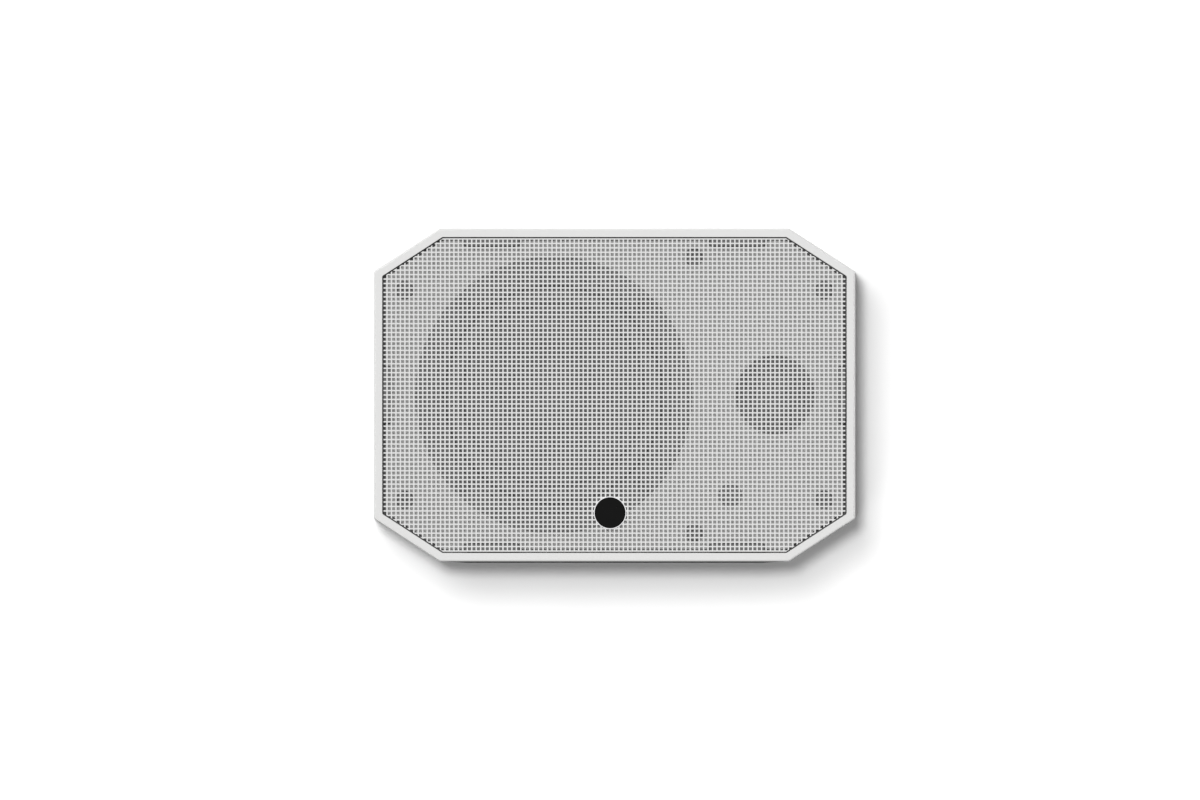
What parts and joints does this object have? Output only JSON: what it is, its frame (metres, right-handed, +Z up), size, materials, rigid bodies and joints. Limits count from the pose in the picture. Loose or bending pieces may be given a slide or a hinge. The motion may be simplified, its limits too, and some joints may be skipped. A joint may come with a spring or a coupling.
{
  "type": "satellite speaker",
  "caption": "Two-way satellite loudspeaker in a white eight-sided cabinet with a square-perforated metal grille, round badge, woofer and dome tweeter, and sprung push terminals at the rear.",
  "frame": {"origin": "centre of the bounding box at the bottom of the rubber foot, which the cabinet stands on", "axes": "+X to the right seen from the front, the grille faces -Y, +Z up"},
  "size_m": [0.24, 0.15, 0.1666],
  "materials": {
    "white_shell": "satin white moulded plastic",
    "white_baffle": "matt white moulded plastic",
    "white_sheet": "white powder-coated perforated steel",
    "black_foam": "black closed-cell foam",
    "black_rubber": "black rubber",
    "black_screw": "black-coated steel screw",
    "zinc_screw": "zinc-plated steel screw",
    "bright_rim": "bright metal",
    "black_gloss": "gloss black plastic",
    "spring_steel": "spring steel",
    "black_basket": "black-painted pressed steel",
    "black_cone": "black coated paper",
    "soft_fabric": "impregnated cloth",
    "black_fabric": "black coated cloth",
    "aluminium_foil": "aluminium foil tube",
    "copper_wire": "enamelled copper wire",
    "plated_steel": "plated steel",
    "ferrite": "sintered ferrite",
    "bright_magnet": "nickel-plated magnet",
    "black_plastic": "black moulded plastic",
    "red_plastic": "red moulded plastic",
    "brass_tab": "brass",
    "board_sheet": "phenolic board",
    "film_capacitor": "taped film capacitor",
    "cement_resistor": "cemented white ceramic",
    "lead_jacket": "black insulated lead",
    "wadding": "polyester wadding"
  },
  "bodies": {
    "cabinet": {"cabinet_shell": "white_shell", "foot_pad": "black_rubber", "front_baffle": "white_baffle", "baffle_seal": "black_foam", "baffle_screws": "black_screw", "blanking_plug": "black_rubber", "grille": "white_sheet", "grille_blocks": "black_rubber", "badge_dish": "bright_rim", "badge_face": "black_gloss", "badge_push_nut": "spring_steel", "woofer_basket": "black_basket", "woofer_surround": "black_rubber", "woofer_gasket_ring": "black_rubber", "woofer_spider": "soft_fabric", "woofer_front_plate": "plated_steel", "woofer_magnet": "ferrite", "woofer_yoke": "plated_steel", "woofer_screws": "black_screw", "woofer_tag_strip": "board_sheet", "woofer_tag_tabs": "brass_tab", "tinsel_leads": "copper_wire", "tweeter_faceplate": "black_plastic", "tweeter_pole_plate": "plated_steel", "tweeter_magnet": "bright_magnet", "tweeter_cup": "plated_steel", "tweeter_screws": "zinc_screw", "tweeter_tabs": "brass_tab", "crossover_board": "board_sheet", "board_screws": "zinc_screw", "woofer_inductor": "copper_wire", "tweeter_inductor": "copper_wire", "woofer_capacitor": "film_capacitor", "tweeter_capacitor": "film_capacitor", "tweeter_resistor": "cement_resistor", "input_leads": "lead_jacket", "woofer_leads": "lead_jacket", "tweeter_leads": "lead_jacket", "damping_pad": "wadding", "terminal_cup": "black_plastic", "cup_seal": "black_foam", "cup_screws": "black_screw", "lever_pins": "zinc_screw", "black_lever_spring": "spring_steel", "red_lever_spring": "spring_steel", "terminal_contacts": "brass_tab", "mounting_inserts": "brass_tab"},
    "woofer_diaphragm": {"woofer_cone": "black_cone", "woofer_dust_cap": "black_cone", "woofer_coil_former": "aluminium_foil", "woofer_coil_winding": "copper_wire"},
    "tweeter_diaphragm": {"tweeter_dome": "black_fabric", "tweeter_voice_coil": "aluminium_foil"},
    "red_push_lever": {"red_lever": "red_plastic"},
    "black_push_lever": {"black_lever": "black_plastic"}
  },
  "joints": [
    {"name": "woofer_excursion", "type": "slide", "parent": "cabinet", "child": "woofer_diaphragm", "axis": [0, -1, 0], "range_m": [-0.004, 0.004], "stiffness_N_per_m": 1000, "deforming": ["woofer_surround", "woofer_spider", "tinsel_leads"]},
    {"name": "tweeter_excursion", "type": "slide", "parent": "cabinet", "child": "tweeter_diaphragm", "axis": [0, -1, 0], "range_m": [-0.0003, 0.0003], "stiffness_N_per_m": 60, "deforming": ["tweeter_dome"]},
    {"name": "red_lever_press", "type": "hinge", "parent": "cabinet", "child": "red_push_lever", "pos_m": [0.011, 0.059, 0.0436], "axis": [1, 0, 0], "range_deg": [0, 15], "stiffness_Nm_per_rad": 0.02, "deforming": ["red_lever_spring"]},
    {"name": "black_lever_press", "type": "hinge", "parent": "cabinet", "child": "black_push_lever", "pos_m": [-0.011, 0.059, 0.0436], "axis": [1, 0, 0], "range_deg": [0, 15], "stiffness_Nm_per_rad": 0.02, "deforming": ["black_lever_spring"]}
  ]
}
